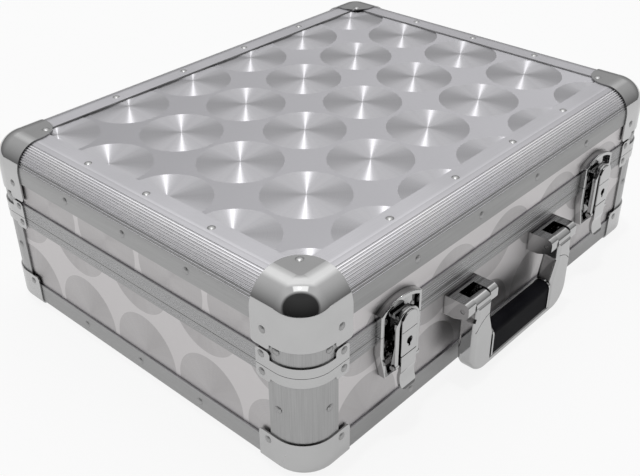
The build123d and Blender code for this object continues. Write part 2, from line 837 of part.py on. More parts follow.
# Hinge leaf of the lid with the middle knuckle and the stop that holds the lid open
with BuildPart() as lid_leaf:
    with BuildSketch() as plate:
        with Locations((0, knuckle_radius - parting_gap)):
            Rectangle(hinge_width, hinge_leaf_reach - knuckle_radius, align=(Align.CENTER, Align.MIN))
        fillet(plate.vertices().group_by(Axis.Y)[-1], radius=ear_round)
    extrude(amount=hinge_leaf)
    with BuildSketch() as pad:
        with Locations((0, lid_rim_height + parting_gap)):
            pad_height = hinge_leaf_reach - lid_rim_height - parting_gap - ear_round
            Rectangle(hinge_width, pad_height, align=(Align.CENTER, Align.MIN))
    extrude(amount=-leg_wall)
    with BuildSketch(Plane.YZ.offset(-hinge_middle / 2 + knuckle_gap)):
        with Locations((0, hinge_axis_out)):
            Circle(knuckle_radius)
            Rectangle(stop_wall, stop_reach, align=(Align.CENTER, Align.MIN))
        with Locations((parting_gap, 0)):
            Rectangle(knuckle_radius, hinge_axis_out, align=(Align.MIN, Align.MIN))
    extrude(amount=hinge_middle - 2 * knuckle_gap)
    with Locations((0, 0, hinge_axis_out)):
        Cylinder(hinge_pin_radius + running_gap, 2 * hinge_width, rotation=(0, 90, 0), mode=Mode.SUBTRACT)
    with Locations((-hinge_rivet_out, hinge_rivet_height), (hinge_rivet_out, hinge_rivet_height)):
        Cylinder(rivet_hole, 2 * panel_in, mode=Mode.SUBTRACT)
with BuildPart() as hinge_lid_leaves:
    with Locations(*hinge_places):
        add(lid_leaf.part)
write_piece(hinge_lid_leaves, "hinge_lid_leaves")

with BuildPart() as hinge_pin:
    with Locations((0, 0, hinge_axis_out)):
        Cylinder(hinge_pin_radius, hinge_width, rotation=(0, 90, 0))
with BuildPart() as hinge_pins:
    with Locations(*hinge_places):
        add(hinge_pin.part)
write_piece(hinge_pins, "hinge_pins")


def front_place(x, drop=0.0):
    """Place on the front: local x along the case, local y up from the parting line, local z outward."""
    return Plane(origin=(x, front_y, parting_z - drop), x_dir=(1, 0, 0), z_dir=(0, -1, 0)).location


# Outline of the latch dish: arched above, drawn in below
with BuildSketch() as dish_outline:
    with BuildLine():
        ThreePointArc((-dish_half, dish_shoulder), (0, dish_top), (dish_half, dish_shoulder))
        Polyline(
            (dish_half, dish_shoulder),
            (dish_half, -dish_taper),
            (dish_foot_half, -dish_bottom),
            (-dish_foot_half, -dish_bottom),
            (-dish_half, -dish_taper),
            (-dish_half, dish_shoulder),
        )
    make_face()
with BuildSketch(Plane.XY.offset(dish_floor)) as dish_hollow:
    add(dish_outline.sketch)
    offset(amount=-dish_rim, mode=Mode.REPLACE)


def make_dish(low, high, pad_low, pad_high, rivet_y):
    """Part of the dish between two levels, with a raised rim, a floor and a pad on the board behind it."""
    with BuildPart() as dish:
        extrude(dish_outline.sketch, amount=dish_rise)
        fillet(dish.edges().group_by(Axis.Z)[-1], radius=dish_edge_round)
        extrude(dish_hollow.sketch, amount=dish_rise, mode=Mode.SUBTRACT)
        with Locations((0, pad_low, 0)):
            Box(4 * dish_half, pad_high - pad_low, leg_wall, align=(Align.CENTER, Align.MIN, Align.MAX))
        extrude(dish_outline.sketch, amount=dish_rise + leg_wall, both=True, mode=Mode.INTERSECT)
        with Locations((0, low, -leg_wall)):
            Box(
                4 * dish_half,
                high - low,
                dish_rise + leg_wall,
                align=(Align.CENTER, Align.MIN, Align.MIN),
                mode=Mode.INTERSECT,
            )
        with Locations((-dish_rivet_side, rivet_y), (dish_rivet_side, rivet_y)):
            Cylinder(rivet_hole, 2 * panel_in, mode=Mode.SUBTRACT)
    return dish.part


# Latch keepers on the lid: the arched half of the dish with a hooked catch
with BuildPart() as keeper:
    add(make_dish(parting_gap / 2, dish_top, lid_rim_height + parting_gap, dish_top, lid_dish_rivet))
    with BuildSketch(Plane.YZ.offset(-keeper_half)):
        with Locations((keeper_low, dish_floor)):
            Rectangle(keeper_wall, keeper_lip - dish_floor, align=(Align.MIN, Align.MIN))
        with Locations((keeper_low, keeper_lip)):
            Rectangle(keeper_hook, keeper_wall, align=(Align.MIN, Align.MAX))
    extrude(amount=2 * keeper_half)

# Latch bases: the lower half of the dish with two ears for the lever pin
ear_centre = cheek_outer - cheek_wall - ear_gap - ear_wall / 2
with BuildPart() as latch_base:
    pad_top = -base_rim_height - parting_gap
    add(make_dish(-dish_bottom, -parting_gap / 2, -dish_bottom, pad_top, -base_dish_rivet))
    for centre in (-ear_centre, ear_centre):
        with BuildSketch(Plane.YZ.offset(centre - ear_wall / 2)):
            with Locations((-lever_axis_drop, lever_axis_out)):
                Circle(cheek_radius)
            with Locations((-lever_axis_drop, dish_floor)):
                Rectangle(2 * cheek_radius, lever_axis_out - dish_floor, align=(Align.CENTER, Align.MIN))
        extrude(amount=ear_wall)
    with Locations((0, -lever_axis_drop, lever_axis_out)):
        Cylinder(latch_pin, 4 * cheek_outer, rotation=(0, 90, 0), mode=Mode.SUBTRACT)

with BuildPart() as lever_pin:
    with Locations((0, -lever_axis_drop, lever_axis_out)):
        Cylinder(latch_pin, 2 * cheek_outer, rotation=(0, 90, 0))

# Latch lever: front plate with a curled finger lip, and two cheeks that carry both pins
lever_top = -tongue_drop - lever_joint
plate_back = tongue_front - lever_wall
lip_front = tongue_front + lever_curl
lip_middle = -(lever_bend + lever_tip) / 2
with BuildPart() as lever:
    with BuildSketch(Plane.YZ.offset(-tongue_half)):
        with BuildLine():
            Line((lever_top, tongue_front), (-lever_bend, tongue_front))
            ThreePointArc(
                (-lever_bend, tongue_front),
                (lip_middle, tongue_front - lever_hollow),
                (-lever_tip, lip_front),
            )
            Line((-lever_tip, lip_front), (-lever_tip, lip_front - lever_wall))
            ThreePointArc(
                (-lever_tip, lip_front - lever_wall),
                (lip_middle, plate_back - lever_hollow),
                (-lever_bend, plate_back),
            )
            Polyline((-lever_bend, plate_back), (lever_top, plate_back), (lever_top, tongue_front))
        make_face()
    extrude(amount=2 * tongue_half)
    fillet(
        lever.edges().filter_by(Axis.Z, tolerance=8).group_by(Axis.Y)[0],
        radius=tongue_half / 2,
    )
    for centre in (-cheek_outer + cheek_wall / 2, cheek_outer - cheek_wall / 2):
        with BuildSketch(Plane.YZ.offset(centre - cheek_wall / 2)):
            with BuildLine():
                Polyline(
                    (-lever_axis_drop, lever_axis_out),
                    (-lever_axis_drop, plate_back),
                    (-bail_axis_drop, plate_back),
                    (-bail_axis_drop, bail_axis_out),
                    close=True,
                )
            make_face()
            with Locations((-lever_axis_drop, lever_axis_out), (-bail_axis_drop, bail_axis_out)):
                Circle(cheek_radius)
        extrude(amount=cheek_wall)
    with Locations((0, -lever_axis_drop, lever_axis_out)):
        Cylinder(latch_pin + running_gap, 4 * cheek_outer, rotation=(0, 90, 0), mode=Mode.SUBTRACT)
    with Locations((0, -bail_axis_drop, bail_axis_out)):
        Cylinder(latch_pin, 4 * cheek_outer, rotation=(0, 90, 0), mode=Mode.SUBTRACT)

# Bail pin: carried by the lever, its rounded heads outside the bail's arms
arm_outer = arm_inner + arm_width
with BuildPart() as bail_pin:
    with Locations((0, -bail_axis_drop, bail_axis_out)):
        Cylinder(latch_pin, 2 * (arm_outer + side_gap), rotation=(0, 90, 0))
    for way in (-1, 1):
        head_place = way * (arm_outer + side_gap + bail_pin_head_wall / 2)
        with Locations((head_place, -bail_axis_drop, bail_axis_out)):
            Cylinder(bail_pin_head, bail_pin_head_wall, rotation=(0, 90, 0))

# Bail: arch and two arms round a raised tongue with the keyhole, joined by a thin web
with BuildPart() as bail:
    with BuildSketch(Plane.XY.offset(tongue_back)):
        with Locations((0, bail_arch_centre)):
            Circle(arm_outer)
        with Locations((0, -bail_axis_drop)):
            Rectangle(2 * arm_outer, bail_arch_centre + bail_axis_drop, align=(Align.CENTER, Align.MIN))
            Rectangle(
                2 * arm_inner,
                bail_axis_drop - tongue_drop + tongue_notch,
                align=(Align.CENTER, Align.MIN),
                mode=Mode.SUBTRACT,
            )
    extrude(amount=web_wall)
    with BuildSketch(Plane.XY.offset(tongue_back)):
        with Locations((0, bail_arch_centre)):
            Circle(arm_outer)
            Circle(arm_inner, mode=Mode.SUBTRACT)
            Rectangle(4 * arm_outer, 2 * arm_outer, align=(Align.CENTER, Align.MAX), mode=Mode.SUBTRACT)
        for way in (-1, 1):
            with Locations((way * (arm_inner + arm_width / 2), -bail_axis_drop)):
                Rectangle(arm_width, bail_arch_centre + bail_axis_drop, align=(Align.CENTER, Align.MIN))
    extrude(amount=arm_wall)
    fillet(bail.edges().group_by(Axis.Z)[-1], radius=arm_edge_round)
    for way in (-1, 1):
        with Locations((way * (arm_inner + arm_width / 2), -bail_axis_drop, bail_axis_out)):
            Cylinder(cheek_radius, arm_width, rotation=(0, 90, 0))
    with BuildSketch(Plane.XY.offset(tongue_back)):
        with Locations((0, tongue_arch_centre)):
            Circle(tongue_half)
            tongue_run = tongue_arch_centre + tongue_drop - tongue_notch
            Rectangle(2 * tongue_half, tongue_run, align=(Align.CENTER, Align.MAX))
    extrude(amount=tongue_front - tongue_back)
    with BuildSketch(Plane.XY.offset(tongue_front - tongue_lip)):
        with Locations((0, -tongue_drop)):
            Rectangle(2 * tongue_half, 2 * tongue_notch, align=(Align.CENTER, Align.MIN))
    extrude(amount=tongue_lip)
    front_edges = bail.edges().group_by(Axis.Z)[-1]
    tongue_edges = front_edges.filter_by(lambda e: e.center().Y > tongue_notch - tongue_drop)
    fillet(tongue_edges, radius=tongue_edge_round)
    with Locations((0, 0, tongue_front)):
        Box(3 * tongue_half, tongue_line, tongue_line_depth, mode=Mode.SUBTRACT)
    with Locations((0, -bail_axis_drop, bail_axis_out)):
        Cylinder(latch_pin + running_gap, 4 * arm_outer, rotation=(0, 90, 0), mode=Mode.SUBTRACT)
    with Locations((0, -lock_drop, 0)):
        Cylinder(
            lock_radius + running_gap,
            tongue_front - keyhole_wall,
            align=(Align.CENTER, Align.CENTER, Align.MIN),
            mode=Mode.SUBTRACT,
        )
    with BuildSketch():
        with Locations((0, -lock_drop)):
            Circle(keyhole_radius)
            Rectangle(keyhole_slot, keyhole_reach, align=(Align.CENTER, Align.MAX))
    extrude(amount=2 * tongue_front, mode=Mode.SUBTRACT)

# Lock plug: turns behind the keyhole, slotted for the key, with the cam on its inner end
with BuildPart() as lock_plug:
    plug_front = tongue_front - keyhole_wall - side_gap
    with Locations((0, -lock_drop, tongue_back)):
        Cylinder(lock_radius, plug_front - tongue_back, align=(Align.CENTER, Align.CENTER, Align.MIN))
    with Locations((0, -lock_drop, plug_front)):
        Box(cam_wall, 2 * keyhole_radius, key_slot_depth, mode=Mode.SUBTRACT)
    with BuildSketch(Plane.XY.offset(tongue_back - side_gap - cam_wall)):
        with Locations((0, -lock_drop)):
            SlotOverall(cam_length, cam_width)
    extrude(amount=cam_wall)
    with Locations((0, -lock_drop, tongue_back - side_gap)):
        Cylinder(cam_width / 2, 2 * side_gap, align=(Align.CENTER, Align.CENTER, Align.MIN))

latch_places = [front_place(x) for x in (-latch_place, latch_place)]
for name, piece in (("latch_keepers", keeper), ("latch_bases", latch_base), ("lever_pins", lever_pin)):
    with BuildPart() as pair:
        with Locations(*latch_places):
            add(piece.part)
    write_piece(pair, name)
for side, place in zip(("left", "right"), latch_places):
    for name, piece in (
        ("latch_lever", lever),
        ("bail_pin", bail_pin),
        ("latch_bail", bail),
        ("lock_plug", lock_plug),
    ):
        with BuildPart() as copy:
            with Locations(place):
                add(piece.part)
        write_piece(copy, f"{name}_{side}")

# Handle brackets: a back plate and two round-nosed cheeks that hold the pivot pin
bracket_places = [front_place(x, handle_axis_drop) for x in (-bracket_place, bracket_place)]
pocket_width = handle_knuckle_width + 2 * side_gap
nose = handle_axis_out + cheek_front
with BuildPart() as bracket:
    with BuildSketch(Plane.YZ.offset(-bracket_width / 2)) as cheek_outline:
        with BuildLine():
            Polyline(
                (cheek_top, -leg_wall),
                (cheek_top, nose),
                (-cheek_front, nose),
                (-bracket_drop, handle_axis_out - cheek_top),
                (-bracket_drop, -leg_wall),
                close=True,
            )
        make_face()
        fillet(cheek_outline.vertices().group_by(Axis.Y)[-1], radius=cheek_nose_round)
    extrude(amount=bracket_width)
    with Locations((0, 0, bracket_back)):
        Box(
            pocket_width,
            4 * bracket_drop,
            2 * handle_axis_out,
            align=(Align.CENTER, Align.CENTER, Align.MIN),
            mode=Mode.SUBTRACT,
        )
    with Locations((0, 0, handle_axis_out)):
        Cylinder(handle_pin, 2 * bracket_width, rotation=(0, 90, 0), mode=Mode.SUBTRACT)
    with Locations((-bracket_screw_side, 0), (bracket_screw_side, 0)):
        Cylinder(bracket_screw, 2 * bracket_screw_depth, mode=Mode.SUBTRACT)
with BuildPart() as handle_brackets:
    with Locations(*bracket_places):
        add(bracket.part)
write_piece(handle_brackets, "handle_brackets")

with BuildPart() as pivot_pin:
    with Locations((0, 0, handle_axis_out)):
        Cylinder(handle_pin, bracket_width - 2 * side_gap, rotation=(0, 90, 0))
with BuildPart() as handle_pins:
    with Locations(*bracket_places):
        add(pivot_pin.part)
write_piece(handle_pins, "handle_pins")

# Screws from inside the case into the brackets
with BuildPart() as bracket_screw_piece:
    with Locations((0, 0, bracket_screw_depth)):
        Cylinder(
            bracket_screw, bracket_screw_depth + panel_in, align=(Align.CENTER, Align.CENTER, Align.MAX)
        )
    with Locations((0, 0, -panel_in)):
        Cylinder(bracket_screw_head, leg_wall, align=(Align.CENTER, Align.CENTER, Align.MAX))
    fillet(bracket_screw_piece.edges().group_by(Axis.Z)[0], radius=leg_wall / 2)
with BuildPart() as bracket_screws:
    with Locations(*bracket_places):
        with Locations((-bracket_screw_side, 0), (bracket_screw_side, 0)):
            add(bracket_screw_piece.part)
write_piece(bracket_screws, "bracket_screws")

# Handle: one cast frame of two arms, a rail and a core bar, with a knuckle on each pin
arm_out = bracket_place + handle_knuckle_width / 2
arm_in = bracket_place - handle_knuckle_width / 2
rail_top = handle_drop - handle_rail
grip_half = handle_half - arm_foot_width
grip_top = rail_top - grip_height
grip_middle = (rail_top + grip_top) / 2
right_side = [
    (handle_half, -handle_drop),
    (handle_half, -arm_shoulder),
    (arm_out, -bracket_drop - side_gap),
    (arm_out, 0),
    (arm_in, 0),
    (arm_in, -arm_shoulder),
    (grip_half, -grip_top),
    (grip_half, -rail_top),
]
left_side = [(-x, y) for x, y in reversed(right_side)]
with BuildPart() as handle_frame:
    with BuildSketch(Plane.XY.offset(handle_axis_out - handle_depth / 2)) as frame_outline:
        with BuildLine():
            Polyline(*right_side, *left_side, close=True)
        make_face()
        fillet(frame_outline.vertices().group_by(Axis.Y)[0], radius=handle_corner)
        shoulders = frame_outline.vertices().filter_by(lambda v: abs(v.Y + arm_shoulder) < near)
        fillet(shoulders, radius=handle_inner_round)
    extrude(amount=handle_depth)
    fillet(handle_frame.edges().group_by(Axis.Z)[-1], radius=frame_edge_round)
    fillet(handle_frame.edges().group_by(Axis.Z)[0], radius=frame_edge_round)
    with Locations((0, -grip_middle, handle_axis_out)):
        Box(2 * grip_half + handle_edge_lap, core_height, core_depth)
    for centre in (-bracket_place, bracket_place):
        with Locations((centre, 0, handle_axis_out)):
            Cylinder(handle_knuckle, handle_knuckle_width, rotation=(0, 90, 0))
    with BuildSketch(Plane.XY.offset(handle_axis_out + handle_depth / 2 - line_depth)):
        for way in (-1, 1):
            with Locations((way * line_centre, -line_centre_drop)):
                Circle(line_radius + line_depth / 2)
        for way in (-1, 1):
            with Locations((way * line_centre, -line_centre_drop)):
                Circle(line_radius - line_depth / 2, mode=Mode.SUBTRACT)
        with Locations((0, -line_low)):
            Rectangle(
                2 * line_outer, line_low - line_high, align=(Align.CENTER, Align.MIN), mode=Mode.INTERSECT
            )
        Rectangle(2 * line_inner, 2 * handle_drop, mode=Mode.SUBTRACT)
    extrude(amount=line_depth, mode=Mode.SUBTRACT)
    with Locations((0, 0, handle_axis_out)):
        Cylinder(handle_pin + running_gap, 3 * handle_half, rotation=(0, 90, 0), mode=Mode.SUBTRACT)
with BuildPart() as handle_frame_piece:
    with Locations(front_place(0, handle_axis_drop)):
        add(handle_frame.part)
write_piece(handle_frame_piece, "handle_frame")

# Grip round the core bar between the arms
with BuildPart() as grip:
    with BuildSketch(Plane.YZ.offset(-grip_half)):
        with Locations((-rail_top, handle_axis_out)):
            Rectangle(grip_height, grip_depth, align=(Align.MIN, Align.CENTER))
    extrude(amount=2 * grip_half)
    fillet(grip.edges().filter_by(Axis.X).group_by(Axis.Y)[-1], radius=grip_round)
    with Locations((0, -grip_middle, handle_axis_out)):
        Box(4 * grip_half, core_height, core_depth, mode=Mode.SUBTRACT)
with BuildPart() as handle_grip:
    with Locations(front_place(0, handle_axis_drop)):
        add(grip.part)
write_piece(handle_grip, "handle_grip")

# Collars round the ends of the grip
with BuildPart() as collar:
    with BuildSketch(Plane.YZ.offset(-collar_length / 2)):
        with Locations((-rail_top, handle_axis_out)):
            Rectangle(grip_height + collar_lap, grip_depth + 2 * collar_lap, align=(Align.MIN, Align.CENTER))
    extrude(amount=collar_length)
    fillet(collar.edges().filter_by(Axis.X).group_by(Axis.Y)[-1], radius=grip_round + collar_lap)
    add(grip.part, mode=Mode.SUBTRACT)
    with Locations((0, -grip_middle, handle_axis_out)):
        Box(4 * grip_half, core_height, core_depth, mode=Mode.SUBTRACT)
with BuildPart() as handle_collars:
    with Locations(front_place(0, handle_axis_drop)):
        with Locations((collar_length / 2 - grip_half, 0, 0), (grip_half - collar_length / 2, 0, 0)):
            add(collar.part)
write_piece(handle_collars, "handle_collars")
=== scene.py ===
import math

import bpy
from mathutils import Matrix, Vector


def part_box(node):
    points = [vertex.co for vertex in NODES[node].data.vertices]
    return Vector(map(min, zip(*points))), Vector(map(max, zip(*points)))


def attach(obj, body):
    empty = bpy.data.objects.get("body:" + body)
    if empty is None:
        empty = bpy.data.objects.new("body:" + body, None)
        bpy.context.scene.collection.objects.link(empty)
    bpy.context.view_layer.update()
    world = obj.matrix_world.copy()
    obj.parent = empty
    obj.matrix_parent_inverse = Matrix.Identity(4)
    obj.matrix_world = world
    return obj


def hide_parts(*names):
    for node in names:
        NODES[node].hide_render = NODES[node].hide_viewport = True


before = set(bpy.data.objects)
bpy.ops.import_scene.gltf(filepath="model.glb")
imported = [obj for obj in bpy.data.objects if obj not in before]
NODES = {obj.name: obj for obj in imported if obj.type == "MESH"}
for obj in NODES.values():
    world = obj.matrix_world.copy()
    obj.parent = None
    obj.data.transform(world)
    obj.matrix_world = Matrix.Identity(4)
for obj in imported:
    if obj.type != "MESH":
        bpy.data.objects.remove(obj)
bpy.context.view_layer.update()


def rest_box(name):
    """Lowest and highest corner of a CAD node as two vectors."""
    low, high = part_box(name)
    return Vector(low), Vector(high)


# The Mix node's sockets for each kind of value: its first input, its second input and its output
MIX_SOCKETS = {"FLOAT": (2, 3, 0), "VECTOR": (4, 5, 1), "RGBA": (6, 7, 2)}


class Nodes:
    """A node tree, built by short calls that link sockets or set their values."""

    def __init__(self, tree):
        self.tree = tree
        self.tree.nodes.clear()

    def feed(self, node, inputs):
        """Link or set a node's inputs, given by name or by number."""
        for key, value in inputs.items():
            if isinstance(value, bpy.types.NodeSocket):
                self.tree.links.new(value, node.inputs[key])
            else:
                node.inputs[key].default_value = value

    def add(self, kind, inputs=None, **settings):
        """A new node with its settings and inputs."""
        node = self.tree.nodes.new("ShaderNode" + kind)
        for key, value in settings.items():
            setattr(node, key, value)
        self.feed(node, inputs or {})
        return node

    def math(self, operation, a, b=0.0):
        """One sum on numbers, such as ADD or ABSOLUTE."""
        return self.add("Math", {0: a, 1: b}, operation=operation).outputs[0]

    def vector(self, operation, a, b=(0.0, 0.0, 0.0)):
        """One sum on vectors that gives a vector."""
        return self.add("VectorMath", {0: a, 1: b}, operation=operation).outputs[0]

    def place(self):
        """The place on the object, in metres."""
        return self.add("TexCoord").outputs["Object"]

    def noise(self, where, scale, detail=2.0, stretch=(1.0, 1.0, 1.0), roughness=0.5):
        """Noise from 0 to 1, with its grain drawn out where a stretch is small."""
        stretched = self.vector("MULTIPLY", where, stretch)
        inputs = {"Vector": stretched, "Scale": scale, "Detail": detail, "Roughness": roughness}
        return self.add("TexNoise", inputs).outputs[0]

    def span(self, value, low, high, to_low=0.0, to_high=1.0):
        """Map a value from one run to another, and hold it at the ends."""
        inputs = {0: value, 1: low, 2: high, 3: to_low, 4: to_high}
        return self.add("MapRange", inputs, clamp=True).outputs[0]

    def mix(self, share, first, second, kind="RGBA"):
        """The first value at share 0, the second at share 1."""
        first_in, second_in, out = MIX_SOCKETS[kind]
        inputs = {0: share, first_in: first, second_in: second}
        return self.add("Mix", inputs, data_type=kind).outputs[out]

    def bump(self, height, distance, strength):
        """A normal that leans with a height, whose full depth is a distance in metres."""
        inputs = {"Height": height, "Distance": distance, "Strength": strength}
        return self.add("Bump", inputs).outputs[0]


class Shader(Nodes):
    """A material with one principled surface."""

    CREVICE_SAMPLES = 6

    def __init__(self, name):
        self.material = bpy.data.materials.new(name)
        self.material.use_nodes = True
        super().__init__(self.material.node_tree)
        self.output = self.tree.nodes.new("ShaderNodeOutputMaterial")
        self.surface = self.tree.nodes.new("ShaderNodeBsdfPrincipled")
        self.tree.links.new(self.surface.outputs[0], self.output.inputs["Surface"])

    def crevice(self, distance, low=0.35, high=0.95):
        """Share of open space near a point: 0 deep in a seam or round a rivet head, 1 on open faces."""
        shade = self.add("AmbientOcclusion", {"Distance": distance}, samples=self.CREVICE_SAMPLES)
        return self.span(shade.outputs["AO"], low, high)

    def finish(self, **inputs):
        """Feed the surface, with _ for each space in an input's name, and give the material."""
        self.feed(self.surface, {key.replace("_", " "): value for key, value in inputs.items()})
        return self.material


# Tints of grey: red, green and blue shares
PLAIN = (1.0, 1.0, 1.0)
COOL = (1.01, 1.0, 1.045)
WARM = (1.03, 1.0, 1.005)

# The run in which most of a noise's values lie
NOISE_RUN = (0.3, 0.7)


def grey(level, tint=PLAIN):
    """A grey of one level, tinted a little."""
    return tuple(min(1.0, level * share) for share in tint) + (1.0,)


def drawn_metal(name, level, roughness, along, tint=PLAIN, crevice_shade=0.45, seam=0.0022, grain=0.25):
    """Satin metal with fine lines drawn along one axis, faint handling marks and painted shade in its seams
    and crevices.
    """
    s = Shader(name)
    where = s.place()
    fineness = [1.0 if axis == along else 90.0 for axis in "xyz"]
    lines = s.noise(where, scale=22.0, detail=3.0, stretch=fineness, roughness=0.6)
    cloud = s.noise(where, scale=14.0, detail=3.0)
    handled = grey(level * 0.94, tint)
    scratched = grey(level * 0.72, tint)
    painted_shade = grey(level * crevice_shade, tint)
    tone = s.mix(s.span(cloud, *NOISE_RUN), handled, grey(level, tint))
    tone = s.mix(s.span(lines, 0.35, 0.65, to_high=grain), tone, scratched)
    # Painted shade: deep in seams and crevices the grey darkens to a share of its level
    tone = s.mix(s.crevice(seam), painted_shade, tone)
    rough = s.span(lines, *NOISE_RUN, roughness - 0.04, roughness + 0.05)
    rough = s.math("ADD", rough, s.span(cloud, *NOISE_RUN, to_high=0.04))
    bump = s.bump(lines, distance=0.00004, strength=0.5)
    return s.finish(Base_Color=tone, Metallic=1.0, Roughness=rough, Normal=bump)


# A hollow, such as a latch's dish, is painted darker as shade, mixed in between these two shares of open
# space
HOLLOW_SHADE = 0.24
HOLLOW_OPENNESS = (0.1, 0.7)


def plated_metal(name, level, roughness, crevice_shade=0.3, seam=0.002, smudge=0.05, hollow=0.0, shade_span=(0.35, 0.95)):
    """Bright plating with soft smudges, hairline marks and painted shade in its seams; a hollow reach paints
    deeper shade into deep places.
    """
    s = Shader(name)
    where = s.place()
    cloud = s.noise(where, scale=38.0, detail=4.0)
    hair = s.noise(where, scale=160.0, detail=2.0, stretch=(1.0, 1.0, 0.06))
    swell = s.noise(where, scale=26.0, detail=2.0)
    smudged = grey(level * 0.95)
    painted_shade = grey(level * crevice_shade)
    tone = s.mix(s.span(cloud, 0.35, 0.7), smudged, grey(level))
    # Painted shade: deep in seams and round rivet heads the grey darkens to a share of its level
    tone = s.mix(s.crevice(seam, *shade_span), painted_shade, tone)
    if hollow:
        # Painted shade in deep hollows
        tone = s.mix(s.crevice(hollow, *HOLLOW_OPENNESS), grey(level * HOLLOW_SHADE), tone)
    rough = s.span(cloud, 0.35, 0.75, roughness, roughness + smudge)
    rough = s.math("ADD", rough, s.span(hair, 0.55, 0.8, to_high=0.04))
    bump = s.bump(swell, distance=0.0001, strength=0.3)
    return s.finish(Base_Color=tone, Metallic=1.0, Roughness=rough, Normal=bump)


# Engine-turned discs: spun circles that nearly touch, on a square grid. Each board is cut from its own sheet,
# so each has its own start: a row's place across the rows, then a centre's place along its row.
TOP_PITCH = 0.0715
SIDE_PITCH = 0.0725
DISC_RADIUS = 0.0337
DISC_EDGE = 0.00004
TOP_START = (0.0652, 0.0235)
SIDE_STARTS = {
    ("base", "x"): (0.0255, -0.02),
    ("base", "y"): (0.0268, -0.002),
    ("lid", "x"): (0.0816, 0.005),
    ("lid", "y"): (0.1135, 0.0311),
}
# How far the top's rows slip along themselves, for each metre from one row to another
TOP_LEAN = 0.045
# The spun rings change tone about this many times to the metre, and painted rays of sheen lighten a disc by
# up to this share
RINGS_PER_METRE = 2400.0
RAY_SHINE = 0.16
GAP_ROUGHNESS = 0.44
# Reach of the painted shade along a board's seams, in metres
BOARD_SEAM = 0.0009
# Keeps a cell's number above 0 on both sides of the start
CELLS_BEFORE = 100.0


def engine_turned(name, row_axis, stack_axis, pitch, start, tint, disc, gap, rough, spin=1.0, lean=0.0):
    """Laminate with spun discs: scratches run in circles round each centre of a square grid.

    Rows run along the first axis and are stacked along the second. The discs and the gaps between them
    are greys of two levels, and spin is how much the circles stretch a reflection.
    """
    s = Shader(name)
    where = s.place()
    parts = s.add("SeparateXYZ", {0: where}).outputs
    stack_index, row_index = "xyz".index(stack_axis), "xyz".index(row_axis)
    up_stack = s.math("SUBTRACT", parts[stack_index], start[0])
    along_row = s.math("SUBTRACT", parts[row_index], start[1])
    row_start = s.math("SNAP", s.math("ADD", up_stack, pitch / 2), pitch)
    along_row = s.math("SUBTRACT", along_row, s.math("MULTIPLY", row_start, lean))
    from_centre = {}
    for index, run in ((row_index, along_row), (stack_index, up_stack)):
        cell = s.math("ADD", s.math("DIVIDE", run, pitch), CELLS_BEFORE + 0.5)
        from_centre[index] = s.math("SUBTRACT", s.math("FRACT", cell), 0.5)
    radial = s.add("CombineXYZ", from_centre).outputs[0]
    length = s.add("VectorMath", {0: radial}, operation="LENGTH").outputs["Value"]
    distance = s.math("MULTIPLY", length, pitch)
    inside = s.span(distance, DISC_RADIUS - DISC_EDGE, DISC_RADIUS + DISC_EDGE, 1.0, 0.0)

    # The tangent lies across the scratches: outward from the centre on a disc, along the rows in the gaps
    to_world = {"vector_type": "VECTOR", "convert_from": "OBJECT", "convert_to": "WORLD"}
    spun = s.add("VectorTransform", {0: radial}, **to_world).outputs[0]
    straight = tuple(1.0 if axis == row_axis else 0.0 for axis in "xyz")
    tangent = s.vector("NORMALIZE", s.mix(inside, straight, spun, kind="VECTOR"))

    ring_place = s.math("MULTIPLY", distance, RINGS_PER_METRE)
    ring_inputs = {"W": ring_place, "Scale": 1.0, "Detail": 2.0}
    rings = s.add("TexNoise", ring_inputs, noise_dimensions="1D").outputs[0]
    sheen_rays = s.noise(s.vector("NORMALIZE", radial), scale=3.2, detail=4.0, roughness=0.7)
    cloud = s.noise(where, scale=9.0, detail=3.0)
    handled_gap = grey(gap * 0.96, tint)
    ringed_disc = grey(disc * 0.9, tint)
    painted_shade = grey(gap * 0.2)
    gap_tone = s.mix(s.span(cloud, *NOISE_RUN), handled_gap, grey(gap, tint))
    disc_tone = s.mix(s.span(rings, *NOISE_RUN), ringed_disc, grey(disc, tint))
    # Painted sheen: random rays lighten the disc towards white, more where the circles stretch a reflection
    # more
    disc_tone = s.mix(s.span(sheen_rays, 0.35, 0.75, to_high=RAY_SHINE * spin), disc_tone, grey(1.0))
    tone = s.mix(inside, gap_tone, disc_tone)
    # Painted shade: the board darkens deep in its seams
    tone = s.mix(s.crevice(BOARD_SEAM), painted_shade, tone)
    shine = s.span(inside, 0.0, 1.0, GAP_ROUGHNESS, rough)
    bump = s.bump(s.math("MULTIPLY", rings, inside), distance=0.000012, strength=0.4)
    s.surface.inputs["Anisotropic"].default_value = spin
    return s.finish(Base_Color=tone, Metallic=1.0, Roughness=shine, Tangent=tangent, Normal=bump)


def moulded(name, colour, roughness, grain_scale=900.0, grain_depth=0.00003, shine=0.5):
    """Moulded plastic or rubber with a fine skin grain and slight sheen changes."""
    s = Shader(name)
    where = s.place()
    grain = s.noise(where, grain_scale)
    cloud = s.noise(where, scale=30.0, detail=3.0)
    lighter = tuple(min(1.0, part * 1.5 + 0.004) for part in colour) + (1.0,)
    tone = s.mix(s.span(cloud, 0.35, 0.75), colour + (1.0,), lighter)
    rough = s.span(cloud, *NOISE_RUN, roughness - 0.05, roughness + 0.06)
    rough = s.math("ADD", rough, s.span(grain, *NOISE_RUN, to_high=0.05))
    bump = s.bump(grain, distance=grain_depth, strength=0.6)
    s.surface.inputs["Specular IOR Level"].default_value = shine
    return s.finish(Base_Color=tone, Roughness=rough, Normal=bump)


